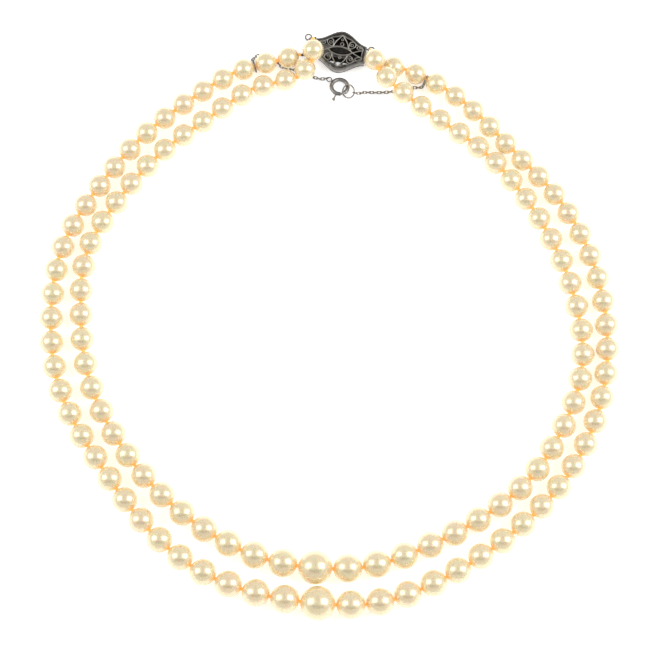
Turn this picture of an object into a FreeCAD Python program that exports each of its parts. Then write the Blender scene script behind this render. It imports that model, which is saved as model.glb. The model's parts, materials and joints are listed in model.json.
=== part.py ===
import FreeCAD, Part
import math
import os
from FreeCAD import Vector

# Two-strand graduated pearl necklace, lying closed on a table.  Millimetres, +Z up.
# +Y runs from the centre pearls to the clasp, +X to the box side of the clasp.
# The strands lie flat, the silk is knotted between all pearls, and each strand is cut at
# three knots a side so that it can flex there.  The filigree box clasp closes both strands,
# and a fine safety chain with a bolt ring crosses under it.

# The routes below are laid out round a working centre; this moves everything so that the
# origin is the middle of the whole necklace on the table.
FRAME_SHIFT = Vector(-0.2253, -1.2331, 0)

# ---- pearls: one graduation rule for both strands
END_PEARL = 5.25         # diameter next to the clasp
TAPER = 0.9              # what a straight graduation adds by the front
SHOULDER = 0.95          # what the few pearls beside the centre one add
SHOULDER_FADE = 3.0      # pearls over which that fades
OUTER_CENTRE_PEARL = 8.2
INNER_CENTRE_PEARL = 8.0
OUTER_SIDE_COUNT = 32    # pearls each side of the centre one
INNER_SIDE_COUNT = 30

# ---- silk
DRILL_RADIUS = 0.45
THREAD_RADIUS = 0.24
KNOT_RADIUS = 0.4
KNOT_RELIEF = 0.07       # play of a knot in the mouth of the drill hole
END_KNOT_GROWTH = 0.6    # how much wider the last gaps are than the front ones
TURN_ROOM = 0.75         # silk left out beside a knot that flexes

# ---- routes, from the left clasp end to the right one: x, y and height off the table
OUTER_ROUTE = [
    (-7.0, 68.2, 0), (-14.0, 66.3, 0), (-21.0, 64.4, 0), (-31.0, 58.5, 0), (-44.5, 47.8, 0),
    (-55.5, 34.5, 0), (-64.0, 19.5, 0), (-66.5, 1.5, 0), (-64.0, -16.5, 0), (-55.0, -33.0, 0),
    (-44.0, -48.0, 0), (-29.5, -60.3, 0), (-16.5, -65.3, 0), (-2.4, -67.8, 0), (12.3, -67.4, 0),
    (25.0, -62.8, 0), (41.5, -52.5, 0), (55.0, -39.5, 0), (64.0, -23.0, 0), (67.0, -5.5, 0),
    (63.0, 18.0, 0), (55.0, 32.5, 0), (43.5, 45.2, 0), (33.5, 55.8, 0), (26.5, 60.8, 0),
    (18.8, 64.4, 0), (13.5, 65.6, 0),
]
INNER_ROUTE = [
    (-3.6, 71.2, 3.3), (-3.3, 68.5, 2.95), (-4.9, 63.6, 1.25), (-10.0, 61.5, 0.1), (-18.5, 59.3, 0),
    (-26.0, 54.2, 0), (-40.0, 43.5, 0), (-51.5, 30.0, 0), (-58.5, 17.0, 0), (-59.4, 5.5, 0),
    (-57.7, -11.5, 0), (-51.0, -27.0, 0), (-39.3, -41.8, 0), (-26.5, -51.8, 0), (-14.0, -57.4, 0),
    (-3.0, -59.4, 0), (8.0, -59.2, 0), (21.0, -55.2, 0), (35.3, -47.9, 0), (47.7, -38.0, 0),
    (56.3, -24.8, 0), (60.8, -11.0, 0), (59.8, 4.2, 0), (55.5, 17.8, 0), (48.3, 30.8, 0),
    (37.2, 43.9, 0), (26.0, 52.3, 0), (19.0, 57.5, 0.9), (14.3, 60.8, 3.6), (11.2, 65.5, 3.4),
    (10.5, 68.3, 2.8),
]
OUTER_CENTRE_POINT = 13
INNER_CENTRE_POINT = 15

# ---- groups of pearls between the knots that flex, counted from the left clasp end
OUTER_GROUPS = [
    ("left_back", 0, 8), ("left_side", 8, 17), ("left_front", 17, 27), ("front", 27, 38),
    ("right_front", 38, 48), ("right_side", 48, 57), ("right_back", 57, 65),
]
INNER_GROUPS = [
    ("left_back", 0, 7), ("left_side", 7, 16), ("left_front", 16, 25), ("front", 25, 36),
    ("right_front", 36, 45), ("right_side", 45, 54), ("right_back", 54, 61),
]

# ---- clasp: an ogee lozenge with cut-off ends, in its own frame with the long axis on X
CLASP_CENTRE = Vector(3.0, 69.3, 0)
CLASP_TILT = -10.5
CLASP_HALF_LENGTH = 6.3
CLASP_END_HALF = 2.1
CLASP_EDGE = [(-4.3, 2.8), (-2.4, 4.1), (0.0, 5.0), (2.4, 4.1), (4.3, 2.8)]
BACK_TOP = 0.35
WALL_TOP = 2.05
LID_TOP = 2.4
WALL_THICK = 0.35
RIM_TOP = 2.6
RIM_WIDTH = 0.3
MOUTH_HALF = 1.75
MOUTH_TOP = 1.6
EYE_HALF_LENGTH = 3.2
EYE_WIDTH = 1.9
# leaf openings: inner x, outer x, inner y, outer y, width
PETALS = [
    (0.0, 0.0, 1.35, 4.4, 1.1), (1.25, 2.0, 1.25, 3.75, 1.0), (-1.25, -2.0, 1.25, 3.75, 1.0),
    (2.5, 4.2, 0.95, 2.3, 0.8), (-2.5, -4.2, 0.95, 2.3, 0.8),
]
END_PETAL_START = 4.1
END_PETAL_FINISH = 5.7
END_PETAL_WIDTH = 1.3

# ---- tongue
TONGUE_HALF = 1.45
TONGUE_LOW = 0.5
TONGUE_THICK = 0.2
TONGUE_FOLD_X = 2.6
LEAF_Z = 1.22
FOLD_PLAY = 0.03         # between the leaf's root and the rolled fold
CATCH_TOP = 1.9
CATCH_THICK = 0.3
CATCH_SETBACK = 0.1      # behind the wall's inner face
NECK_HALF = 0.65
TAB_END_X = -8.0
TAB_RADIUS = 0.75
TAB_THICK = 0.3
END_BAR_GAP = 0.15
END_BAR_THICK = 0.5
END_BAR_HALF = 2.6
SLOT_HALF = 0.8
SLOT_TOP = 1.9

# ---- loops and thread ends
LOOP_Z = 1.1
LOOP_RADIUS = 0.75
LOOP_WIRE = 0.2
LEFT_LOOPS = {"inner": (-8.4, 2.5), "outer": (-8.1, -1.8)}
RIGHT_LOOPS = {"inner": (7.5, 2.0), "outer": (7.4, -1.5)}
END_THREAD_RADIUS = 0.17
END_THREAD_SPREAD = 0.8
END_THREAD_PLAY = 0.3   # off the last knot
LOOP_PLAY = 0.1          # inside the loop's wire
SHORTEST_RUN = 0.1

# ---- bolt ring and jump ring
BOLT_CENTRE = Vector(2.86, 60.48, 0.85)
BOLT_TILT_X = -9.6
BOLT_TILT_Y = 2.9
BOLT_RADIUS = 2.0
BOLT_TUBE = 0.5
BOLT_BORE = 0.35
BOLT_GAP_START = -50.0
BOLT_GAP_END = -85.0
BOLT_EYE_ANGLE = 142.0
EYE_RADIUS = 0.6
EYE_WIRE = 0.15
BORE_START = 80.0        # the bore runs from past the spring's far end to the gap
SOCKET_DEPTH = 8.0       # degrees, in the tube end that the trigger closes on
SLOT_RADIUS = 0.27
SLOT_ROOM = 8.0          # degrees beyond the pin at either stop
TRIGGER_WIRE = 0.28
TRIGGER_TAIL = -125.0
TRIGGER_TIP = -46.0
TRIGGER_PIN_ANGLE = -113.0
TRIGGER_TRAVEL = 38.0
PIN_RADIUS = 0.2
PIN_LENGTH = 1.75
KNOB_RADIUS = 0.45
KNOB_OUT = 1.8
SPRING_RADIUS = 0.24
SPRING_START = 95.0
SPRING_GAP = 2.0         # degrees between the spring and the trigger's tail
JUMP_CENTRE = Vector(5.04, 59.16, 1.2)
JUMP_TILT_X = 18.3
JUMP_TILT_Y = -31.1
JUMP_RADIUS = 1.62
JUMP_WIRE = 0.18
SEAM_WIDTH = 0.5
SEAM_DEPTH = 1.4

# ---- fine chain
LINK_WIRE = 0.11
LINK_HALF = 0.62         # half the centre line of a link
LINK_WIDTH = 0.62        # across the centre line of a link
LINK_PITCH = 0.94
LINK_PLAY = 0.08
CHAIN_RING_RADIUS = 1.6
CHAIN_RING_WIRE = 0.18
CHAIN_RING_Z = 1.9
LEFT_RING_OFFSET = -0.2  # of the ring's middle from the silk, towards the bolt ring
RIGHT_RING_OFFSET = 0.7
SEAM_LEAD = 0.9          # how far the chain leaves the seam straight
LEFT_CHAIN_MIDDLE = [(-15.6, 68.8, 0.6), (-13.4, 67.8, 0.45), (-11.3, 65.8, 0.45),
                     (-8.4, 65.0, 0.45), (-4.8, 63.7, 0.45), (-1.6, 62.6, 0.6)]
RIGHT_CHAIN_MIDDLE = [(8.8, 58.9, 1.0), (11.0, 59.1, 0.52), (14.6, 59.2, 0.5),
                      (17.2, 59.7, 0.5), (19.2, 60.3, 0.5), (21.4, 60.2, 0.9)]


def save(node, solids):
    """Write one node; a list becomes a group of separate solids."""
    if not isinstance(solids, list):
        solids = [solids]
    for solid in solids:
        solid.translate(FRAME_SHIFT)
    shape = solids[0] if len(solids) == 1 else Part.makeCompound(solids)
    shape.exportStep("parts/" + node + ".step")
    volume = sum(s.Volume for s in solids)
    print(node, len(solids), "solid(s)", round(volume, 3), "mm3", all(s.isValid() for s in solids))


def one_solid(shape):
    return shape.Solids[0] if len(shape.Solids) == 1 else shape


# ---------------------------------------------------------------- strands

def pearl_diameter(step, side_count, centre_diameter):
    """Diameter of the pearl that lies step places from the centre one."""
    if step == 0:
        return centre_diameter
    return END_PEARL + TAPER * (1 - step / side_count) + SHOULDER * math.exp(-step / SHOULDER_FADE)


def knots_along(curve, start, finish, diameters):
    """Points of the knots from the centre pearl out to one end; the gaps fill the route exactly."""
    count = len(diameters) - 1
    weights = [1 + END_KNOT_GROWTH * (step / count) ** 2 for step in range(count + 1)]
    length = abs(curve.length(min(start, finish), max(start, finish)))
    beads = diameters[0] / 2 + sum(diameters[1:])
    gap = (length - beads) / (weights[0] / 2 + sum(weights[1:]))
    sign = 1 if finish > start else -1
    travelled = (diameters[0] + gap * weights[0]) / 2
    points = []
    for step in range(1, count + 2):
        points.append(curve.value(curve.parameterAtDistance(sign * travelled, start)))
        if step <= count:
            travelled += diameters[step] + gap * weights[step]
            travelled = min(travelled, length - 0.001)
    print("knot gap", round(gap, 3), "to", round(gap * weights[-1], 3), "route", round(length, 1))
    return points


def strand(route, centre_point, side_count, centre_diameter):
    """Knots and pearls of one strand, in order from the left clasp end to the right one.

    A knot is level with the middle of the larger pearl beside it, and each pearl hangs
    between its two knots, so a small pearl beside a large one is lifted a little.
    """
    curve = Part.BSplineCurve()
    curve.interpolate([Vector(*p) for p in route])
    middle = curve.parameter(Vector(*route[centre_point]))
    sizes = [pearl_diameter(k, side_count, centre_diameter) for k in range(side_count + 1)]
    left = knots_along(curve, middle, curve.FirstParameter, sizes)
    right = knots_along(curve, middle, curve.LastParameter, sizes)
    knots = left[::-1] + right
    diameters = sizes[:0:-1] + sizes
    pearls = []
    for i, diameter in enumerate(diameters):
        pearls.append({"centre": (knots[i] + knots[i + 1]) / 2, "diameter": diameter})
    for i, knot in enumerate(knots):
        beside = pearls[max(0, i - 1):i + 1]
        knot.z = max(0.0, knot.z) + max(p["diameter"] for p in beside) / 2
    for i, pearl in enumerate(pearls):
        pearl["centre"].z = (knots[i].z + knots[i + 1].z) / 2
    return {"pearls": pearls, "knots": knots}


def drilled_pearl(pearl, knot_before, knot_after):
    """A pearl bored in line with its two knots, with a mouth for each knot."""
    radius = pearl["diameter"] / 2
    centre = pearl["centre"]
    along = (knot_after - knot_before).normalize()
    ball = Part.makeSphere(radius, centre, along)
    tools = [Part.makeCylinder(DRILL_RADIUS, 2 * radius + 2, centre - along * (radius + 1), along)]
    for knot in (knot_before, knot_after):
        tools.append(Part.makeSphere(KNOT_RADIUS + KNOT_RELIEF, knot, along))
    return one_solid(ball.cut(tools))


def silk(line, first, last, open_start, open_end):
    """Knots and the runs of thread between them, through the pearls first to last - 1.

    An open end has no knot and leaves room to turn.
    """
    knots = [Part.makeSphere(KNOT_RADIUS, point) for point in line["knots"]]
    pieces = knots[first + (1 if open_start else 0):last + (0 if open_end else 1)]
    for i in range(first, last):
        run = line["knots"][i + 1] - line["knots"][i]
        before = TURN_ROOM if open_start and i == first else 0.0
        after = TURN_ROOM if open_end and i == last - 1 else 0.0
        length = run.Length - before - after
        start = line["knots"][i] + run.normalize() * before
        thread = Part.makeCylinder(THREAD_RADIUS, length, start, run)
        pieces.append(one_solid(thread.cut([knots[i], knots[i + 1]])))
    return pieces


def strand_nodes(name, line, groups, centre_index):
    for group, first, last in groups:
        indices = [i for i in range(first, last) if i != centre_index]
        solids = [drilled_pearl(line["pearls"][i], line["knots"][i], line["knots"][i + 1])
                  for i in indices]
        save("pearls_%s_%s" % (name, group), solids)
        # the knot that flexes stays on the side nearer the front
        open_start = group.startswith("right")
        open_end = group.startswith("left")
        save("silk_%s_%s" % (name, group), silk(line, first, last, open_start, open_end))
    centre = line["pearls"][centre_index]
    save("centre_pearl_" + name,
         drilled_pearl(centre, line["knots"][centre_index], line["knots"][centre_index + 1]))


# ---------------------------------------------------------------- wires, loops and links

def placed_ring(centre, normal, radius, wire):
    return Part.makeTorus(radius, wire, centre, normal)


def oval(start, finish, width, wire, side):
    """A closed wire link: straight runs from start to finish, width apart along side."""
    along = (finish - start).normalize()
    across = (side - along * side.dot(along)).normalize() * (width / 2)
    bulge = along * (width / 2)
    edges = [
        Part.LineSegment(start + across, finish + across).toShape(),
        Part.Arc(finish + across, finish + bulge, finish - across).toShape(),
        Part.LineSegment(finish - across, start - across).toShape(),
        Part.Arc(start - across, start - bulge, start + across).toShape(),
    ]
    path = Part.Wire(edges)
    section = Part.Wire([Part.makeCircle(wire, start + across, along)])
    return path.makePipeShell([section], True, True)


def chain(points, first_upright, start_wire, end_wire):
    """Links laid along a curve, turned a quarter each, from one ring's wire to another's."""
    curve = Part.BSplineCurve()
    curve.interpolate([Vector(*p) for p in points])
    length = curve.length()
    lead = LINK_HALF - (start_wire + LINK_WIRE + LINK_PLAY)
    trail = LINK_HALF - (end_wire + LINK_WIRE + LINK_PLAY)
    count = 2 * math.ceil((length - lead - trail) / LINK_PITCH / 2 + 0.5)
    pitch = (length - lead - trail) / (count - 1)
    half_run = LINK_HALF - LINK_WIDTH / 2
    links = []
    for i in range(count):
        at = curve.parameterAtDistance(lead + i * pitch, curve.FirstParameter)
        centre = curve.value(at)
        along = curve.tangent(at)[0]
        level = Vector(0, 0, 1).cross(along).normalize()
        upright = (i % 2 == 0) == first_upright
        side = along.cross(level) if upright else level
        links.append(oval(centre - along * half_run, centre + along * half_run,
                          LINK_WIDTH, LINK_WIRE, side))
    print("chain", count, "links, pitch", round(pitch, 3), "length", round(length, 1))
    return links


def chain_ring(knot, along, offset):
    """A plain wire ring round the silk between two pearls; returns it and its outer side."""
    across = Vector(0, 0, 1).cross(Vector(along.x, along.y, 0)).normalize()
    centre = Vector(knot.x, knot.y, CHAIN_RING_Z) + across * offset
    ring = placed_ring(centre, across.cross(Vector(0, 0, 1)), CHAIN_RING_RADIUS, CHAIN_RING_WIRE)
    return ring, centre, across


# ---------------------------------------------------------------- clasp

def clasp_outline(inset, z):
    """Ogee lozenge with cut-off ends, drawn inset from the outer edge."""
    half = CLASP_HALF_LENGTH - inset
    end = CLASP_END_HALF - inset
    upper = [(-half, end)] + [(x, y - inset) for x, y in CLASP_EDGE] + [(half, end)]
    edges = []
    for sign in (1, -1):
        side = Part.BSplineCurve()
        side.interpolate([Vector(x, sign * y, z) for x, y in upper])
        edges.append(side.toShape())
    edges.append(Part.makeLine(Vector(half, end, z), Vector(half, -end, z)))
    edges.append(Part.makeLine(Vector(-half, end, z), Vector(-half, -end, z)))
    return Part.Wire(Part.__sortEdges__(edges))


def clasp_slab(inset, low, high):
    return Part.Face(clasp_outline(inset, low)).extrude(Vector(0, 0, high - low))


def leaf_hole(start, finish, width, low, high):
    """A leaf-shaped opening between two points."""
    a = Vector(start[0], start[1], low)
    b = Vector(finish[0], finish[1], low)
    middle = (a + b) / 2
    side = (b - a).cross(Vector(0, 0, 1)).normalize() * (width / 2)
    edges = [Part.Arc(a, middle + side, b).toShape(), Part.Arc(b, middle - side, a).toShape()]
    return Part.Face(Part.Wire(edges)).extrude(Vector(0, 0, high - low))


def petal_holes(low, high):
    """Leaf openings that fan out between the middle eye and the rim, above and below it."""
    holes = []
    for sign in (1, -1):
        for inner_x, outer_x, inner_y, outer_y, width in PETALS:
            start = (inner_x, sign * inner_y)
            finish = (outer_x, sign * outer_y)
            holes.append(leaf_hole(start, finish, width, low, high))
        start = (sign * END_PETAL_START, 0)
        finish = (sign * END_PETAL_FINISH, 0)
        holes.append(leaf_hole(start, finish, END_PETAL_WIDTH, low, high))
    return holes


def clasp_back():
    slab = clasp_slab(0.0, 0.0, BACK_TOP)
    return one_solid(slab.cut(petal_holes(-1, 1)))


def clasp_wall():
    """Side wall of the box, with the mouth for the tongue in its cut-off left end."""
    outside = clasp_slab(0.0, BACK_TOP, WALL_TOP)
    inside = clasp_slab(WALL_THICK, BACK_TOP - 1, WALL_TOP + 1)
    corner = Vector(-CLASP_HALF_LENGTH - WALL_THICK, -MOUTH_HALF, BACK_TOP)
    mouth = Part.makeBox(3 * WALL_THICK, 2 * MOUTH_HALF, MOUTH_TOP - BACK_TOP, corner)
    return one_solid(outside.cut([inside, mouth]))


def clasp_lid():
    eye = leaf_hole((-EYE_HALF_LENGTH, 0), (EYE_HALF_LENGTH, 0), EYE_WIDTH, WALL_TOP - 1, LID_TOP + 1)
    slab = clasp_slab(0.0, WALL_TOP, LID_TOP)
    return one_solid(slab.cut([eye] + petal_holes(WALL_TOP - 1, LID_TOP + 1)))


def clasp_rim():
    """Raised edging soldered along the upper edge of the lid."""
    inside = clasp_slab(RIM_WIDTH, LID_TOP - 1, RIM_TOP + 1)
    return one_solid(clasp_slab(0.0, LID_TOP, RIM_TOP).cut(inside))


def end_loop(place, post_x):
    """A thread loop at a place beside the clasp, on a post that reaches it from post_x."""
    centre = Vector(place[0], place[1], LOOP_Z)
    ring = placed_ring(centre, Vector(0, 0, 1), LOOP_RADIUS, LOOP_WIRE)
    outward = math.copysign(1, centre.x - post_x)
    reach = abs(centre.x - post_x) - LOOP_RADIUS
    post = Part.makeCylinder(LOOP_WIRE, reach, Vector(post_x, centre.y, LOOP_Z), Vector(outward, 0, 0))
    return one_solid(ring.fuse(post))


def box_loops():
    return [end_loop(place, CLASP_HALF_LENGTH) for place in RIGHT_LOOPS.values()]


def end_bar_x():
    """The outer face of the tongue's end bar."""
    return -CLASP_HALF_LENGTH - END_BAR_GAP - END_BAR_THICK


def tongue_end_bar():
    """Plate that closes the mouth end, with a slot above the blade for the press tab."""
    plate = Part.makeBox(END_BAR_THICK, 2 * END_BAR_HALF, WALL_TOP,
                         Vector(end_bar_x(), -END_BAR_HALF, 0))
    slot_low = TONGUE_LOW + TONGUE_THICK
    slot = Part.makeBox(3 * END_BAR_THICK, 2 * SLOT_HALF, SLOT_TOP - slot_low,
                        Vector(end_bar_x() - END_BAR_THICK, -SLOT_HALF, slot_low))
    return one_solid(plate.cut(slot))


def tongue_loops():
    return [end_loop(place, end_bar_x()) for place in LEFT_LOOPS.values()]


def tongue_blade():
    """Lower leaf of the sprung tongue with its rolled fold at the tip."""
    start = end_bar_x() + END_BAR_THICK
    leaf = Part.makeBox(TONGUE_FOLD_X - start, 2 * TONGUE_HALF, TONGUE_THICK,
                        Vector(start, -TONGUE_HALF, TONGUE_LOW))
    fold_z = (TONGUE_LOW + LEAF_Z + TONGUE_THICK) / 2
    outer = (LEAF_Z + TONGUE_THICK - TONGUE_LOW) / 2
    along = Vector(0, 1, 0)
    at = Vector(TONGUE_FOLD_X, -TONGUE_HALF, fold_z)
    roll = Part.makeCylinder(outer, 2 * TONGUE_HALF, at, along)
    roll = roll.cut(Part.makeCylinder(outer - TONGUE_THICK, 2 * TONGUE_HALF, at, along))
    keep = Part.makeBox(outer + 1, 2 * TONGUE_HALF, 2 * outer + 1,
                        Vector(TONGUE_FOLD_X, -TONGUE_HALF, fold_z - outer - 0.5))
    return one_solid(leaf.fuse(roll.common(keep)).removeSplitter())


def tongue_leaf():
    """Upper sprung leaf: its step catches behind the mouth, and its tab is pressed to free it."""
    inner_x = -CLASP_HALF_LENGTH + WALL_THICK + CATCH_SETBACK
    corner = Vector(inner_x, -TONGUE_HALF, LEAF_Z)
    leaf = Part.makeBox(TONGUE_FOLD_X - FOLD_PLAY - inner_x, 2 * TONGUE_HALF, TONGUE_THICK, corner)
    step = Part.makeBox(CATCH_THICK, 2 * TONGUE_HALF, CATCH_TOP - LEAF_Z, corner)
    neck = Part.makeBox(inner_x - TAB_END_X, 2 * NECK_HALF, TONGUE_THICK,
                        Vector(TAB_END_X, -NECK_HALF, LEAF_Z))
    tab = Part.makeCylinder(TAB_RADIUS, TAB_THICK, Vector(TAB_END_X, 0, LEAF_Z + TONGUE_THICK))
    return one_solid(leaf.fuse([step, neck, tab]).removeSplitter())


def set_in_place(solids):
    """Turn and move clasp pieces from the clasp's frame to the necklace's."""
    many = solids if isinstance(solids, list) else [solids]
    for solid in many:
        solid.rotate(Vector(0, 0, 0), Vector(0, 0, 1), CLASP_TILT)
        solid.translate(CLASP_CENTRE)
    return solids


def clasp_point(x, y, z):
    turn = FreeCAD.Rotation(Vector(0, 0, 1), CLASP_TILT)
    return turn.multVec(Vector(x, y, z)) + CLASP_CENTRE


def end_thread(knot, place):
    """The doubled silk from beside the last knot through a clasp loop and back."""
    hole = clasp_point(place[0], place[1], LOOP_Z)
    toward = Vector(knot.x - hole.x, knot.y - hole.y, 0).normalize()
    wire = hole + toward * LOOP_RADIUS
    along = (wire - knot).normalize()
    bend = END_THREAD_SPREAD / 2
    near = knot + along * (KNOT_RADIUS + END_THREAD_RADIUS + END_THREAD_PLAY + bend)
    far = wire + along * (LOOP_WIRE + END_THREAD_RADIUS + LOOP_PLAY - bend)
    if (far - near).dot(along) < SHORTEST_RUN:
        far = near + along * SHORTEST_RUN
    return oval(near, far, END_THREAD_SPREAD, END_THREAD_RADIUS, Vector(0, 0, 1))


# ---------------------------------------------------------------- bolt ring and jump ring

def ring_frame(centre, tilt_x, tilt_y):
    roll = FreeCAD.Rotation(Vector(1, 0, 0), tilt_x)
    pitch = FreeCAD.Rotation(Vector(0, 1, 0), tilt_y)
    return FreeCAD.Placement(centre, pitch.multiply(roll))


def arc_tube(radius, wire, start, finish):
    """A round bar bent along part of a circle, angles in degrees from +X."""
    sweep = Part.makeTorus(radius, wire, Vector(0, 0, 0), Vector(0, 0, 1), 0, 360, finish - start)
    sweep.rotate(Vector(0, 0, 0), Vector(0, 0, 1), start)
    return sweep


def on_ring(angle, radius):
    return Vector(radius * math.cos(math.radians(angle)), radius * math.sin(math.radians(angle)), 0)


def bolt_tube():
    """Hollow ring tube, open at the gap, with a slot for the trigger pin."""
    start = BOLT_GAP_START
    finish = BOLT_GAP_END + 360
    past = 5
    tube = arc_tube(BOLT_RADIUS, BOLT_TUBE, start, finish)
    bore = arc_tube(BOLT_RADIUS, BOLT_BORE, BORE_START, finish + past)
    socket = arc_tube(BOLT_RADIUS, BOLT_BORE, start - past, start + SOCKET_DEPTH)
    slot = arc_tube(BOLT_RADIUS + BOLT_TUBE, SLOT_RADIUS,
                    TRIGGER_PIN_ANGLE - TRIGGER_TRAVEL - SLOT_ROOM, TRIGGER_PIN_ANGLE + SLOT_ROOM)
    return one_solid(tube.cut([bore, socket, slot]))


def eye_reach():
    """Distance of the small eye's middle from the bolt ring's; its wire is sunk in the tube."""
    return BOLT_RADIUS + BOLT_TUBE + EYE_RADIUS + EYE_WIRE * 0.9


def bolt_eye():
    ring = placed_ring(on_ring(BOLT_EYE_ANGLE, eye_reach()), Vector(0, 0, 1), EYE_RADIUS, EYE_WIRE)
    return one_solid(ring.cut(arc_tube(BOLT_RADIUS, BOLT_TUBE, 0, 360)))


def bolt_trigger():
    bar = arc_tube(BOLT_RADIUS, TRIGGER_WIRE, TRIGGER_TAIL, TRIGGER_TIP)
    out = on_ring(TRIGGER_PIN_ANGLE, 1.0)
    pin = Part.makeCylinder(PIN_RADIUS, PIN_LENGTH, out * BOLT_RADIUS, out)
    knob = Part.makeSphere(KNOB_RADIUS, out * (BOLT_RADIUS + KNOB_OUT))
    return one_solid(bar.fuse([pin, knob]))


def bolt_spring():
    """The coil spring behind the trigger, as one bar of the coil's outside diameter."""
    return arc_tube(BOLT_RADIUS, SPRING_RADIUS, SPRING_START, TRIGGER_TAIL + 360 - SPRING_GAP)


def jump_place():
    return ring_frame(JUMP_CENTRE, JUMP_TILT_X, JUMP_TILT_Y)


def exit_direction():
    """The way the box side of the clasp leaves the tongue."""
    return FreeCAD.Rotation(Vector(0, 0, 1), CLASP_TILT).multVec(Vector(1, 0, 0))


def seam_point():
    """The point of the jump ring that lies furthest along the exit direction."""
    place = jump_place()
    normal = place.Rotation.multVec(Vector(0, 0, 1))
    out = exit_direction()
    flat = (out - normal * out.dot(normal)).normalize()
    return place.Base + flat * JUMP_RADIUS


def jump_ring():
    """An open wire ring; the chain's first link leaves it through the seam."""
    ring = placed_ring(Vector(0, 0, 0), Vector(0, 0, 1), JUMP_RADIUS, JUMP_WIRE)
    ring.Placement = jump_place()
    corner = Vector(-SEAM_DEPTH / 2, -SEAM_WIDTH / 2, -SEAM_DEPTH / 2)
    seam = Part.makeBox(SEAM_DEPTH, SEAM_WIDTH, SEAM_DEPTH, corner)
    seam.rotate(Vector(0, 0, 0), Vector(0, 0, 1), CLASP_TILT)
    seam.translate(seam_point())
    return one_solid(ring.cut(seam))


def bolt_ring_nodes():
    for node, shape in (("bolt_ring_tube", bolt_tube()), ("bolt_ring_eye", bolt_eye()),
                        ("bolt_ring_trigger", bolt_trigger()), ("bolt_ring_spring", bolt_spring())):
        place = ring_frame(BOLT_CENTRE, BOLT_TILT_X, BOLT_TILT_Y)
        shape.Placement = place.multiply(shape.Placement)
        save(node, shape)


def left_chain_nodes(knots):
    """The ring round the silk beside the tongue, and the links from it to the bolt ring's eye."""
    ring, centre, side = chain_ring(knots[2], knots[3] - knots[1], LEFT_RING_OFFSET)
    save("safety_ring_left", ring)
    place = ring_frame(BOLT_CENTRE, BOLT_TILT_X, BOLT_TILT_Y)
    eye = place.multVec(on_ring(BOLT_EYE_ANGLE, eye_reach() + EYE_RADIUS))
    start = centre - side * CHAIN_RING_RADIUS
    points = [tuple(start)] + LEFT_CHAIN_MIDDLE + [tuple(eye)]
    save("safety_chain_left", chain(points, False, CHAIN_RING_WIRE, EYE_WIRE))


def right_chain_nodes(knots):
    """The ring round the silk beside the box, and the links from the jump ring to it."""
    ring, centre, side = chain_ring(knots[-3], knots[-2] - knots[-4], RIGHT_RING_OFFSET)
    save("safety_ring_right", ring)
    seam = seam_point()
    lead = seam + exit_direction() * SEAM_LEAD
    finish = centre + side * CHAIN_RING_RADIUS
    points = [tuple(seam), tuple(lead)] + RIGHT_CHAIN_MIDDLE + [tuple(finish)]
    save("safety_chain_right", chain(points, True, JUMP_WIRE, CHAIN_RING_WIRE))


def main():
    os.makedirs("parts", exist_ok=True)
    outer = strand(OUTER_ROUTE, OUTER_CENTRE_POINT, OUTER_SIDE_COUNT, OUTER_CENTRE_PEARL)
    inner = strand(INNER_ROUTE, INNER_CENTRE_POINT, INNER_SIDE_COUNT, INNER_CENTRE_PEARL)
    strand_nodes("outer", outer, OUTER_GROUPS, OUTER_SIDE_COUNT)
    strand_nodes("inner", inner, INNER_GROUPS, INNER_SIDE_COUNT)
    for name, line in (("outer", outer), ("inner", inner)):
        save("end_thread_%s_left" % name, end_thread(line["knots"][0], LEFT_LOOPS[name]))
        save("end_thread_%s_right" % name, end_thread(line["knots"][-1], RIGHT_LOOPS[name]))
    for node, make in (("clasp_back", clasp_back), ("clasp_wall", clasp_wall),
                       ("clasp_lid", clasp_lid), ("clasp_rim", clasp_rim),
                       ("clasp_box_loops", box_loops), ("clasp_tongue_end_bar", tongue_end_bar),
                       ("clasp_tongue_loops", tongue_loops), ("clasp_tongue_blade", tongue_blade),
                       ("clasp_tongue_leaf", tongue_leaf)):
        save(node, set_in_place(make()))
    bolt_ring_nodes()
    save("jump_ring", jump_ring())
    left_chain_nodes(outer["knots"])
    right_chain_nodes(outer["knots"])


main()
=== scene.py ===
import json
import math
import random

import bpy
import numpy as np
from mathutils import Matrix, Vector


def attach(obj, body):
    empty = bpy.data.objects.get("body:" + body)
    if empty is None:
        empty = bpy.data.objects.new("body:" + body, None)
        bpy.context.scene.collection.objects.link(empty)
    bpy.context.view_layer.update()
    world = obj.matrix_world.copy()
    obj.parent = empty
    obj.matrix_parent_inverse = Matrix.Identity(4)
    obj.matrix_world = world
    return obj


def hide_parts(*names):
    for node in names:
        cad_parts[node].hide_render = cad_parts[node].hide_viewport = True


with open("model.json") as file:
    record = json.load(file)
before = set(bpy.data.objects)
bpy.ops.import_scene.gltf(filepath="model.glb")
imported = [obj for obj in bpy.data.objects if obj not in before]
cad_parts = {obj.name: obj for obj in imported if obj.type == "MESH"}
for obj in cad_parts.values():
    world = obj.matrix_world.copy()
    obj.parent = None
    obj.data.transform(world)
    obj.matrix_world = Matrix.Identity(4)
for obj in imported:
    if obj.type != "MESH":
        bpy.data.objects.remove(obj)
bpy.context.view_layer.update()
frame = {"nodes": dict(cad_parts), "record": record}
MM = 0.001
draw = random.Random(11)

scene = bpy.context.scene
BODY_OF = {node: body for body, nodes in frame["record"]["behaviour"]["bodies"].items() for node in nodes}


# ---------------------------------------------------------------- reading the CAD solids

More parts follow.
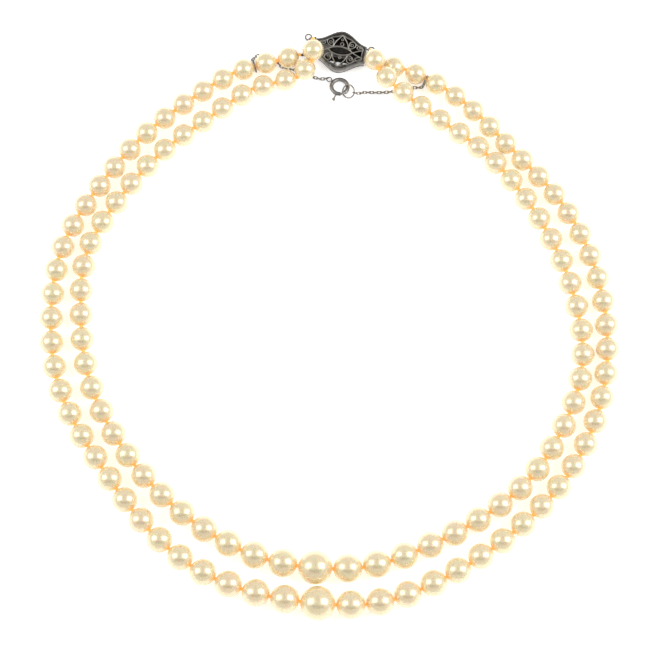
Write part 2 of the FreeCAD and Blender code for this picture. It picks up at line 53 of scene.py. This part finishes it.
def islands(node):
    """The separate solids of a CAD node, each as an array of points in metres."""
    mesh = frame["nodes"][node].data
    points = np.empty(len(mesh.vertices) * 3)
    mesh.vertices.foreach_get("co", points)
    points = points.reshape(-1, 3)
    edges = np.empty(len(mesh.edges) * 2, dtype=np.int64)
    mesh.edges.foreach_get("vertices", edges)
    unique, place = np.unique(np.round(points * 1e7).astype(np.int64), axis=0, return_inverse=True)
    place = place.ravel()
    a, b = place[edges[0::2]], place[edges[1::2]]
    label = np.arange(len(unique))
    while True:
        low = np.minimum(label[a], label[b])
        new = label.copy()
        np.minimum.at(new, a, low)
        np.minimum.at(new, b, low)
        new = new[new]
        if (new == label).all():
            break
        label = new
    of_point = label[place]
    return [points[of_point == k] for k in np.unique(of_point)]


def fit_ball(points):
    """Centre and radius of the ball whose skin most of the points lie on."""
    centre = (points.min(0) + points.max(0)) / 2
    radius = (points.max(0) - points.min(0)).max() / 2
    for _ in range(4):
        off = np.linalg.norm(points - centre, axis=1)
        skin = points[abs(off - radius) < 0.02 * radius]
        rows = np.c_[2 * skin, np.ones(len(skin))]
        answer = np.linalg.lstsq(rows, (skin ** 2).sum(1), rcond=None)[0]
        centre = answer[:3]
        radius = math.sqrt(answer[3] + centre @ centre)
    return centre, radius


def size_of(points):
    return points.max(0) - points.min(0)


STRANDS = {name: [n for n in frame["nodes"] if n.startswith("pearls_" + name)] + ["centre_pearl_" + name]
           for name in ("outer", "inner")}


# ---------------------------------------------------------------- mesh helpers

def new_object(name, verts, faces, material, smooth=True):
    mesh = bpy.data.meshes.new(name)
    mesh.from_pydata([tuple(v) for v in verts], [], faces)
    mesh.validate()
    mesh.update()
    if smooth:
        mesh.polygons.foreach_set("use_smooth", [True] * len(mesh.polygons))
    obj = bpy.data.objects.new(name, mesh)
    scene.collection.objects.link(obj)
    mesh.materials.append(material)
    return obj


def frame_for(axis):
    """Two unit vectors square to axis and to each other."""
    axis = axis / np.linalg.norm(axis)
    helper = np.array([0.0, 0.0, 1.0]) if abs(axis[2]) < 0.9 else np.array([1.0, 0.0, 0.0])
    u = np.cross(helper, axis)
    u /= np.linalg.norm(u)
    return u, np.cross(axis, u)


def tube(points, radius, sides=10, closed=False):
    """Vertices and faces of a round wire along points."""
    points = np.asarray(points, float)
    count = len(points)
    if closed:
        tangents = np.roll(points, -1, 0) - np.roll(points, 1, 0)
    else:
        tangents = np.gradient(points, axis=0)
    tangents /= np.linalg.norm(tangents, axis=1)[:, None]
    verts, faces = [], []
    normal, _ = frame_for(tangents[0])
    for i in range(count):
        normal = normal - tangents[i] * (normal @ tangents[i])
        normal = normal / np.linalg.norm(normal)
        side = np.cross(tangents[i], normal)
        for k in range(sides):
            a = 2 * math.pi * k / sides
            verts.append(points[i] + radius * (math.cos(a) * side + math.sin(a) * normal))
    for i in range(count if closed else count - 1):
        j = (i + 1) % count
        for k in range(sides):
            m = (k + 1) % sides
            faces.append((i * sides + k, i * sides + m, j * sides + m, j * sides + k))
    if not closed:
        faces.append(tuple(range(sides))[::-1])
        faces.append(tuple((count - 1) * sides + k for k in range(sides)))
    return verts, faces


class Bundle:
    """Several pieces of mesh gathered into one object."""

    def __init__(self):
        self.verts, self.faces = [], []

    def add(self, made):
        verts, faces = made
        start = len(self.verts)
        self.verts.extend(verts)
        self.faces.extend(tuple(start + k for k in face) for face in faces)

    def build(self, name, material, body, replaced, slot):
        obj = new_object(name, self.verts, self.faces, material)
        if replaced:
            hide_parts(*replaced)
        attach(obj, body)
        return obj


def put_tags(obj, tags):
    """A colour layer that the materials read: how one piece differs from the next, and in its green channel
    the painted warm glow round the bore.
    """
    layer = obj.data.attributes.new("tone", "FLOAT_COLOR", "POINT")
    flat = np.ones((len(tags), 4), np.float32)
    flat[:, :3] = np.asarray(tags, np.float32)
    layer.data.foreach_set("color", flat.ravel())


# ---------------------------------------------------------------- materials

class Nodes:
    """A small builder for shader trees."""

    def __init__(self, name):
        self.material = bpy.data.materials.new(name)
        self.material.use_nodes = True
        self.tree = self.material.node_tree
        self.tree.nodes.clear()
        out = self.tree.nodes.new("ShaderNodeOutputMaterial")
        self.shader = self.tree.nodes.new("ShaderNodeBsdfPrincipled")
        self.tree.links.new(self.shader.outputs[0], out.inputs[0])
        self.coords = self.tree.nodes.new("ShaderNodeTexCoord").outputs["Object"]

    def put(self, name, value):
        socket = self.shader.inputs[name]
        if isinstance(value, bpy.types.NodeSocket):
            self.tree.links.new(value, socket)
        else:
            socket.default_value = value

    def noise(self, scale, detail=2.0, rough=0.5, warp=0.0):
        node = self.tree.nodes.new("ShaderNodeTexNoise")
        node.inputs["Scale"].default_value = scale
        node.inputs["Detail"].default_value = detail
        node.inputs["Roughness"].default_value = rough
        node.inputs["Distortion"].default_value = warp
        self.tree.links.new(self.coords, node.inputs["Vector"])
        return node.outputs["Fac"]

    def ramp(self, value, low, high, to_low=0.0, to_high=1.0):
        node = self.tree.nodes.new("ShaderNodeMapRange")
        self.tree.links.new(value, node.inputs["Value"])
        for key, number in (("From Min", low), ("From Max", high), ("To Min", to_low), ("To Max", to_high)):
            node.inputs[key].default_value = number
        return node.outputs["Result"]

    def maths(self, kind, a, b):
        node = self.tree.nodes.new("ShaderNodeMath")
        node.operation = kind
        for socket, value in zip(node.inputs, (a, b)):
            if isinstance(value, bpy.types.NodeSocket):
                self.tree.links.new(value, socket)
            else:
                socket.default_value = value
        return node.outputs[0]

    def mix(self, fac, a, b):
        node = self.tree.nodes.new("ShaderNodeMix")
        node.data_type = "RGBA"
        sockets = (node.inputs[0], node.inputs[6], node.inputs[7])
        for socket, value in zip(sockets, (fac, a, b)):
            if isinstance(value, bpy.types.NodeSocket):
                self.tree.links.new(value, socket)
            elif socket.type == "RGBA":
                socket.default_value = (*value, 1.0)
            else:
                socket.default_value = value
        return node.outputs[2]

    def tone(self):
        """The red, green and blue of the colour layer, as three numbers."""
        node = self.tree.nodes.new("ShaderNodeAttribute")
        node.attribute_name = "tone"
        parts = self.tree.nodes.new("ShaderNodeSeparateColor")
        self.tree.links.new(node.outputs["Color"], parts.inputs[0])
        return parts.outputs[0], parts.outputs[1], parts.outputs[2]

    def bump(self, height, distance, strength=1.0):
        node = self.tree.nodes.new("ShaderNodeBump")
        node.inputs["Strength"].default_value = strength
        node.inputs["Distance"].default_value = distance
        self.tree.links.new(height, node.inputs["Height"])
        self.put("Normal", node.outputs["Normal"])


def nacre_material():
    n = Nodes("nacre")
    hue, mouth_glow, depth = n.tone()
    cloud = n.noise(300.0, 2.0, 0.5, 0.3)
    rose = n.maths("ADD", n.ramp(cloud, 0.3, 0.75, -0.1, 0.15), n.maths("MULTIPLY", hue, 0.55))
    colour = n.mix(n.ramp(rose, 0.0, 0.7), (0.93, 0.80, 0.515), (0.95, 0.765, 0.51))
    green = n.ramp(n.noise(200.0, 2.0), 0.5, 0.8, 0.0, 0.3)
    colour = n.mix(n.maths("MULTIPLY", green, depth), colour, (0.89, 0.835, 0.57))
    # painted glow: near the bore the nacre turns orange, standing in for light shining through the pearl
    # and bounced between neighbours
    colour = n.mix(n.ramp(mouth_glow, 0.0, 1.0, 0.0, 0.92), colour, (0.96, 0.53, 0.15))
    n.put("Base Color", colour)
    n.put("Metallic", 0.36)
    # painted glow: warm emission near the bore, though the pearl is no lamp
    n.put("Emission Color", (1.0, 0.56, 0.16, 1.0))
    n.put("Emission Strength", n.ramp(mouth_glow, 0.2, 1.0, 0.0, 0.3))
    n.put("Roughness", n.ramp(n.noise(900.0, 2.0), 0.3, 0.7, 0.24, 0.29))
    n.put("IOR", 1.7)
    n.put("Subsurface Weight", 0.25)
    n.put("Subsurface Radius", (1.0, 0.45, 0.15))
    n.put("Subsurface Scale", 0.0012)
    n.put("Coat Weight", 0.5)
    n.put("Coat Roughness", 0.17)
    n.put("Coat IOR", 1.65)
    n.bump(n.noise(2200.0, 2.0), 0.00001, 0.08)
    return n.material


def silk_material(name, light, dark, glow=0.0):
    n = Nodes(name)
    fibre = n.noise(9000.0, 3.0, 0.6)
    n.put("Base Color", n.mix(n.ramp(fibre, 0.3, 0.7), dark, light))
    # painted glow: with glow above zero the silk emits its pale colour, though it is no lamp
    n.put("Emission Color", (*light, 1.0))
    n.put("Emission Strength", glow)
    n.put("Roughness", 0.6)
    n.put("Sheen Weight", 0.5)
    n.put("Sheen Roughness", 0.4)
    n.bump(fibre, 0.00003, 0.5)
    return n.material


def silver_material(name, bright, dark, rough, wear):
    n = Nodes(name)
    stain = n.noise(900.0, 4.0, 0.6, 0.3)
    fine = n.noise(5200.0, 3.0, 0.6)
    mixed = n.maths("ADD", n.maths("MULTIPLY", stain, 0.75), n.maths("MULTIPLY", fine, 0.25))
    n.put("Base Color", n.mix(n.ramp(mixed, 0.5 - wear, 0.5 + wear), dark, bright))
    n.put("Metallic", 1.0)
    n.put("Roughness", n.ramp(stain, 0.3, 0.7, rough + 0.12, rough - 0.06))
    n.bump(fine, 0.00003, 0.35)
    return n.material


NACRE = nacre_material()
# the knot silk gets a painted glow of 0.32
SILK_PAINTED_GLOW = silk_material("knot_silk", (1.0, 0.66, 0.18), (0.92, 0.50, 0.09), 0.32)
END_SILK = silk_material("end_silk", (0.16, 0.045, 0.06), (0.05, 0.012, 0.02))
SILVER = silver_material("worn_silver", (0.46, 0.44, 0.42), (0.16, 0.15, 0.14), 0.34, 0.16)
# painted shade: near-black silver for the inside of the clasp, where shade falls; its mottling is tarnish
PAINTED_SHADE_SILVER = silver_material("painted_shade_silver", (0.06, 0.057, 0.05), (0.014, 0.013, 0.012), 0.6, 0.2)
PLATE_SILVER = silver_material("plate_silver", (0.21, 0.20, 0.18), (0.055, 0.052, 0.048), 0.42, 0.18)
WIRE_SILVER = silver_material("wire_silver", (0.60, 0.575, 0.52), (0.30, 0.285, 0.26), 0.34, 0.16)


# ---------------------------------------------------------------- pearls

SIDES = 44
RINGS = 26
MOUTH_RADIUS = 0.47 * MM
LIP = 0.1 * MM
BORE_RADIUS = 0.4 * MM
BORE_DEPTH = 0.9 * MM
KNOT_SIZE = 0.9 * MM      # a silk solid smaller than this is a knot, a larger one a thread
MOUTH_GLOW = 0.8        # how far round from the bore the painted warm glow reaches, in radians


def strand_knots(name):
    """Middles of the silk knots of a strand, from its CAD nodes."""
    found = []
    for node in frame["nodes"]:
        if node.startswith("silk_" + name):
            for points in islands(node):
                if size_of(points).max() < KNOT_SIZE:
                    found.append((points.min(0) + points.max(0)) / 2)
    return np.array(found)


def pearl(centre, radius, axis):
    """One pearl, turned about its bore: nearly round, with growth rings and a few dimples."""
    u, v = frame_for(axis)
    w = axis / np.linalg.norm(axis)
    first = math.asin((MOUTH_RADIUS + LIP) / radius)
    profile = [(BORE_RADIUS, radius - BORE_DEPTH), (MOUTH_RADIUS * 0.96, radius - BORE_DEPTH * 0.45),
               (MOUTH_RADIUS, math.sqrt(radius ** 2 - MOUTH_RADIUS ** 2) - 0.03 * MM)]
    inside = len(profile)
    for k in range(RINGS + 1):
        a = first + (math.pi - 2 * first) * k / RINGS
        profile.append((radius * math.sin(a), radius * math.cos(a)))
    profile += [(r, -z) for r, z in profile[:inside][::-1]]
    waves = [(np.array([draw.gauss(0, 1) for _ in range(3)]), draw.uniform(0, 6.3)) for _ in range(3)]
    dimples = []
    for _ in range(draw.choice((0, 0, 1, 1, 2, 3))):
        d = np.array([draw.gauss(0, 1) for _ in range(3)])
        dimples.append((d / np.linalg.norm(d), draw.uniform(0.05, 0.12), draw.uniform(0.002, 0.006)))
    phase = draw.uniform(0, 6.3)
    rings_deep = draw.choice((0.0, 0.0002, 0.0005))
    hue, depth = draw.random(), draw.random()
    verts, tags = [], []
    for row, (r, z) in enumerate(profile):
        for k in range(SIDES):
            a = 2 * math.pi * k / SIDES
            point = u * (r * math.cos(a)) + v * (r * math.sin(a)) + w * z
            glow = 0.0
            if inside <= row < len(profile) - inside:
                n = point / radius
                turn = math.acos(max(-1.0, min(1.0, n @ w)))
                swell = 0.0016 * sum(math.sin(2.2 * (n @ d) + p) for d, p in waves) / 3
                swell += rings_deep * math.sin(26 * turn + phase)
                for d, wide, deep in dimples:
                    swell -= deep * math.exp(-((1 - n @ d) / (wide * wide / 2)))
                point = point * (1 + swell)
                near = min(turn, math.pi - turn)
                # painted glow tag: 1 inside the bore, fading out over MOUTH_GLOW radians from it
                glow = max(0.0, 1 - near / MOUTH_GLOW) ** 1.4
            else:
                glow = 1.0
            verts.append(centre + point)
            tags.append((hue, glow, depth))
    faces = []
    for row in range(len(profile) - 1):
        for k in range(SIDES):
            m = (k + 1) % SIDES
            faces.append((row * SIDES + m, row * SIDES + k, (row + 1) * SIDES + k, (row + 1) * SIDES + m))
    return verts, faces, tags


PEARLS = []
for name, nodes in STRANDS.items():
    knots = strand_knots(name)
    for node in nodes:
        verts, faces, tags = [], [], []
        for points in islands(node):
            centre, radius = fit_ball(points)
            PEARLS.append(centre)
            order = np.argsort(np.linalg.norm(knots - centre, axis=1))
            axis = knots[order[1]] - knots[order[0]]
            more, more_faces, more_tags = pearl(centre, radius, axis)
            faces += [tuple(len(verts) + k for k in face) for face in more_faces]
            verts += more
            tags += more_tags
        made = new_object(node.replace("pearls_", "nacre_").replace("centre_pearl_", "nacre_centre_"),
                          verts, faces, NACRE)
        put_tags(made, tags)
        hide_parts(node)
        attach(made, BODY_OF[node])


# ---------------------------------------------------------------- silk

PLY_SIDES = 7
KNOT_TURN = 0.24 * MM    # middle of the knot's coil from its own axis
KNOT_WAVE = 0.1 * MM     # how far the coil swings in and out
KNOT_RISE = 0.2 * MM     # and along the strand
KNOT_PLY = 0.135 * MM
KNOT_STEPS = 42
THREAD_PLY = 0.11 * MM
THREAD_PITCH = 0.9 * MM
THREAD_STEP = 0.09 * MM


def knot_coil(centre, axis):
    """A small overhand knot: one ply that winds twice round its axis and three times through."""
    u, v = frame_for(axis)
    w = axis / np.linalg.norm(axis)
    spin = draw.uniform(0, 6.3)
    points = []
    for k in range(KNOT_STEPS):
        t = 2 * math.pi * k / KNOT_STEPS
        out = KNOT_TURN + KNOT_WAVE * math.cos(3 * t)
        points.append(centre + u * out * math.cos(2 * t + spin) + v * out * math.sin(2 * t + spin)
                      + w * KNOT_RISE * math.sin(3 * t))
    return tube(points, KNOT_PLY, PLY_SIDES, closed=True)


def twisted(start, end):
    """Two plies wound round each other from start to end."""
    run = end - start
    length = np.linalg.norm(run)
    u, v = frame_for(run)
    steps = max(4, int(length / THREAD_STEP))
    plies = []
    for half in (0.0, math.pi):
        points = []
        for k in range(steps + 1):
            a = 2 * math.pi * length * k / steps / THREAD_PITCH + half
            points.append(start + run * k / steps + (u * math.cos(a) + v * math.sin(a)) * THREAD_PLY)
        plies.append(tube(points, THREAD_PLY, PLY_SIDES))
    return plies


PEARLS = np.array(PEARLS)
for node in [n for n in frame["nodes"] if n.startswith("silk_")]:
    bundle = Bundle()
    for points in islands(node):
        if size_of(points).max() < KNOT_SIZE:
            middle = (points.min(0) + points.max(0)) / 2
            near = PEARLS[np.argsort(np.linalg.norm(PEARLS - middle, axis=1))[:2]]
            bundle.add(knot_coil(middle, near[1] - near[0]))
        else:
            middle = points.mean(0)
            lean = np.linalg.svd(points - middle, full_matrices=False)[2][0]
            along = (points - middle) @ lean
            for ply in twisted(middle + lean * along.min(), middle + lean * along.max()):
                bundle.add(ply)
    bundle.build(node.replace("silk_", "twist_"), SILK_PAINTED_GLOW, BODY_OF[node], [node], "silk")


# ---------------------------------------------------------------- clasp top, in millimetres

CLASP_MIDDLE = np.array([2.7747, 68.0669, 0.0]) * MM
CLASP_TURN = math.radians(-10.5)
CLASP_HALF_LENGTH = 6.3
# the clasp's outline, as half-widths at places along it
OUTLINE = [(-6.3, 2.1), (-5.2, 2.3), (-4.3, 2.8), (-3.3, 3.45), (-2.4, 4.1), (-1.1, 4.45), (0.0, 5.0),
           (1.1, 4.45), (2.4, 4.1), (3.3, 3.45), (4.3, 2.8), (5.2, 2.3), (6.3, 2.1)]
BAND_FROM, BAND_TO = 0.3, 0.95       # the grey band, measured in from the outline
BAND_LOW, BAND_HIGH = 2.12, 2.38
LEAF_HALF_LENGTH, LEAF_HALF_WIDTH = 2.8, 0.82
LEAF_LOW, LEAF_HIGH = 2.1, 2.34
LEAF_STEPS = 14
# painted shade: a near-black sheet laid inside the clasp where there is only shade
SHADE_SHEET_INSET = 0.5
SHADE_SHEET_EDGE = -2.3                    # the painted shade sheet stops here, so the lower edge stays see-through
SHADE_SHEET_LOW, SHADE_SHEET_HIGH = 0.36, 0.44
WIRE_Z = 2.38
BORDER_Z = 2.4
HUB = 0.02                           # how small the middle of a filled plate is
# rings of fine wire: along, across, radius
SCROLLS = [
    (0.2, 1.75, 0.42), (2.65, 1.85, 0.34), (-2.65, 1.85, 0.34), (0.25, -1.75, 0.3),
    (-2.6, -1.85, 0.3), (2.9, -1.85, 0.3), (0.1, 2.9, 0.26), (4.75, 1.5, 0.2), (-4.75, 1.5, 0.2),
]


def on_clasp(x, y, z):
    """A point given along, across and above the clasp, in the necklace's frame and in metres."""
    c, d = math.cos(CLASP_TURN), math.sin(CLASP_TURN)
    return CLASP_MIDDLE + np.array([x * c - y * d, x * d + y * c, z]) * MM


def half_width(x, inset):
    places, widths = zip(*OUTLINE)
    return float(np.interp(x, places, widths)) - inset


def outline(inset):
    """The clasp's outline, moved in by inset, as a closed row of points."""
    half = CLASP_HALF_LENGTH - inset
    top = [(x, half_width(x, inset)) for x in np.linspace(-half, half, 41)]
    return top + [(x, -y) for x, y in top[::-1]]


def leaf():
    """The pointed oval in the middle of the clasp."""
    ring = []
    for sign in (1, -1):
        for k in range(LEAF_STEPS):
            t = k / LEAF_STEPS
            ring.append((LEAF_HALF_LENGTH * (1 - 2 * t) * sign,
                         sign * LEAF_HALF_WIDTH * math.sin(math.pi * t) ** 0.85))
    return ring


def plate(outer, inner, low, high):
    """A flat band between two closed outlines with the same number of points."""
    count = len(outer)
    verts = []
    for z in (low, high):
        verts += [on_clasp(x, y, z) for x, y in outer] + [on_clasp(x, y, z) for x, y in inner]
    faces = []
    for k in range(count):
        m = (k + 1) % count
        i, p, q = count, 2 * count, 3 * count
        faces.append((p + k, p + m, q + m, q + k))
        faces.append((m, k, i + k, i + m))
        faces.append((k, m, p + m, p + k))
        faces.append((i + m, i + k, q + k, q + m))
    return verts, faces


def filled(outer, low, high):
    """A flat plate inside a closed outline that surrounds the clasp's middle."""
    return plate(outer, [(HUB * x, HUB * y) for x, y in outer], low, high)


def smooth_line(points, closed=False, steps=8):
    """A curve through the points, as a row of closer points."""
    points = np.asarray(points, float)
    count = len(points)
    row = []
    for i in range(count if closed else count - 1):
        a, b, c, d = (points[(i + k) % count] if closed else points[min(max(i + k, 0), count - 1)]
                      for k in (-1, 0, 1, 2))
        for k in range(steps):
            t = k / steps
            row.append(0.5 * (2 * b + (c - a) * t + (2 * a - 5 * b + 4 * c - d) * t * t
                              + (3 * b - a - 3 * c + d) * t ** 3))
    if not closed:
        row.append(points[-1])
    return row


def clasp_wire(points, wire, z=WIRE_Z, closed=False):
    row = smooth_line([(x, y, z) for x, y in points], closed)
    return tube([on_clasp(*p) for p in row], wire * MM, 8, closed)


def sweep(side):
    """The wire that borders the centre leaf, crosses its tips and runs to both ends."""
    line = [(-5.6, 0.95), (-4.4, 0.55), (-3.1, 0), (-2.0, -0.72), (-0.5, -1.08), (0.8, -1.02),
            (2.1, -0.66), (3.1, 0), (4.4, 0.6), (5.6, 1.0)]
    points = [(x, y * side) for x, y in line]
    points[2] = (-3.1, 0.02)
    points[7] = (3.1, -0.02)
    return clasp_wire(points, 0.15)


def arch_side(way, side):
    line = [(1.9, 0.85), (1.55, 2.0), (0.95, 2.9), (0.05, 4.0)]
    return clasp_wire([(x * way, y * side) for x, y in line], 0.13)


def petal(way, side):
    line = [(2.1, 0.9), (3.0, 1.15), (3.6, 2.0), (3.05, 2.75), (2.2, 2.6), (1.95, 1.75)]
    return clasp_wire([(x * way, y * side) for x, y in line], 0.12, closed=True)


def end_petal(way, side):
    line = [(5.5, 0.95), (4.6, 1.0), (3.95, 1.45), (4.5, 2.0), (5.4, 1.55)]
    return clasp_wire([(x * way, y * side) for x, y in line], 0.11, closed=True)


def scroll(x, y, wide):
    ring = [(x + wide * math.cos(k * math.pi / 5), y + wide * math.sin(k * math.pi / 5)) for k in range(10)]
    return clasp_wire(ring, 0.08, closed=True)


def clasp_top():
    deep, band, wires = Bundle(), Bundle(), Bundle()
    # painted shade: a near-black plate fills the opening of the centre leaf, and a near-black sheet lies
    # inside the clasp
    deep.add(filled(leaf(), LEAF_LOW, LEAF_HIGH))
    shade_sheet = [(x, max(y, SHADE_SHEET_EDGE)) for x, y in outline(SHADE_SHEET_INSET)]
    deep.add(filled(shade_sheet, SHADE_SHEET_LOW, SHADE_SHEET_HIGH))
    band.add(plate(outline(BAND_FROM), outline(BAND_TO), BAND_LOW, BAND_HIGH))
    for side in (1, -1):
        wires.add(sweep(side))
        for way in (1, -1):
            wires.add(arch_side(way, side))
            wires.add(petal(way, side))
            wires.add(end_petal(way, side))
    for place in SCROLLS:
        wires.add(scroll(*place))
    wires.add(clasp_wire(outline(0.92), 0.1, BORDER_Z, closed=True))
    deep.build("clasp_shade_sheet", PAINTED_SHADE_SILVER, BODY_OF["clasp_lid"], None, "silver")
    band.build("clasp_plate", PLATE_SILVER, BODY_OF["clasp_lid"], None, "silver")
    wires.build("clasp_wires", WIRE_SILVER, BODY_OF["clasp_lid"], ["clasp_lid"], "silver")


clasp_top()


# ---------------------------------------------------------------- CAD nodes that stay

for node, obj in frame["nodes"].items():
    if obj.hide_render:
        continue
    if node.startswith("silk"):
        material = SILK_PAINTED_GLOW
    elif node.startswith("end_thread"):
        material = END_SILK
    # painted shade: the back and the tongue blade lie inside the clasp and get near-black silver
    elif node.startswith(("clasp_back", "clasp_tongue_blade")):
        material = PAINTED_SHADE_SILVER
    else:
        material = SILVER
    obj.data.materials.clear()
    obj.data.materials.append(material)


# ---------------------------------------------------------------- stage, light and camera

def flat_mesh(name, half, tall):
    mesh = bpy.data.meshes.new(name)
    corners = [(-half, -tall, 0), (half, -tall, 0), (half, tall, 0), (-half, tall, 0)]
    mesh.from_pydata(corners, [], [(0, 1, 2, 3)])
    return mesh


def card(name, toward, distance, width, height, strength=None, grey=0.02):
    """A flat card that faces the necklace; with a strength it is a soft light."""
    place = TARGET + toward * distance
    turn = (-toward).to_track_quat("-Z", "Y") if strength is not None else toward.to_track_quat("Z", "Y")
    if strength is not None:
        data = bpy.data.lights.new(name, "AREA")
        data.shape = "RECTANGLE"
        data.size, data.size_y = width, height
        data.energy = strength * width * height * math.pi
        obj = bpy.data.objects.new(name, data)
    else:
        mesh = flat_mesh(name, width / 2, height / 2)
        paint = Nodes(name)
        paint.put("Base Color", (grey, grey, grey, 1))
        paint.put("Roughness", 1.0)
        mesh.materials.append(paint.material)
        obj = bpy.data.objects.new(name, mesh)
    obj.location = place
    obj.rotation_mode = "QUATERNION"
    obj.rotation_quaternion = turn
    obj.visible_camera = False
    scene.collection.objects.link(obj)
    return obj


ELEVATION = math.radians(76)
CAMERA_DISTANCE = 0.64
TARGET = Vector((-0.2253, -1.2331, 0.0)) * MM
AXIS = Vector((0, -math.cos(ELEVATION), math.sin(ELEVATION)))
UP = Vector((0, math.sin(ELEVATION), math.cos(ELEVATION)))
SIDE = Vector((1, 0, 0))


def direction(aside, above):
    """A direction seen from the necklace, in degrees to the right of the camera and above it."""
    a, b = math.radians(aside), math.radians(above)
    return (AXIS * math.cos(b) + UP * math.sin(b)) * math.cos(a) + SIDE * math.sin(a)


card("light_left", direction(-47, 16), 0.75, 0.42, 0.55, strength=2.6)
card("light_right", direction(45, 15), 0.75, 0.40, 0.55, strength=4.2)
card("dark_front", direction(0, -24), 0.62, 1.0, 0.26, grey=0.01)
card("dark_top", direction(0, 30), 0.70, 0.22, 0.75, grey=0.25)

world = bpy.data.worlds.new("studio")
scene.world = world
world.use_nodes = True
world.node_tree.nodes["Background"].inputs["Color"].default_value = (1, 1, 1, 1)
world.node_tree.nodes["Background"].inputs["Strength"].default_value = 0.62

FLOOR = 1.6
floor_mesh = flat_mesh("floor", FLOOR, FLOOR)
floor_nodes = Nodes("white_table")
floor_nodes.put("Base Color", (0.9, 0.9, 0.9, 1))
floor_nodes.put("Roughness", 0.9)
floor_nodes.put("Emission Color", (1, 1, 1, 1))
floor_nodes.put("Emission Strength", 0.5)
floor_mesh.materials.append(floor_nodes.material)
floor = bpy.data.objects.new("floor", floor_mesh)
floor.location.z = -0.00002
scene.collection.objects.link(floor)

camera = bpy.data.cameras.new("camera")
camera.sensor_width = 36
camera.lens = 147.1
camera.shift_x = -0.0046
camera.shift_y = 0.0015
camera.clip_start = 0.01
camera_object = bpy.data.objects.new("camera", camera)
camera_object.location = TARGET + AXIS * CAMERA_DISTANCE
camera_object.rotation_mode = "QUATERNION"
camera_object.rotation_quaternion = (-AXIS).to_track_quat("-Z", "Y")
scene.collection.objects.link(camera_object)
scene.camera = camera_object
scene.view_settings.view_transform = "Standard"
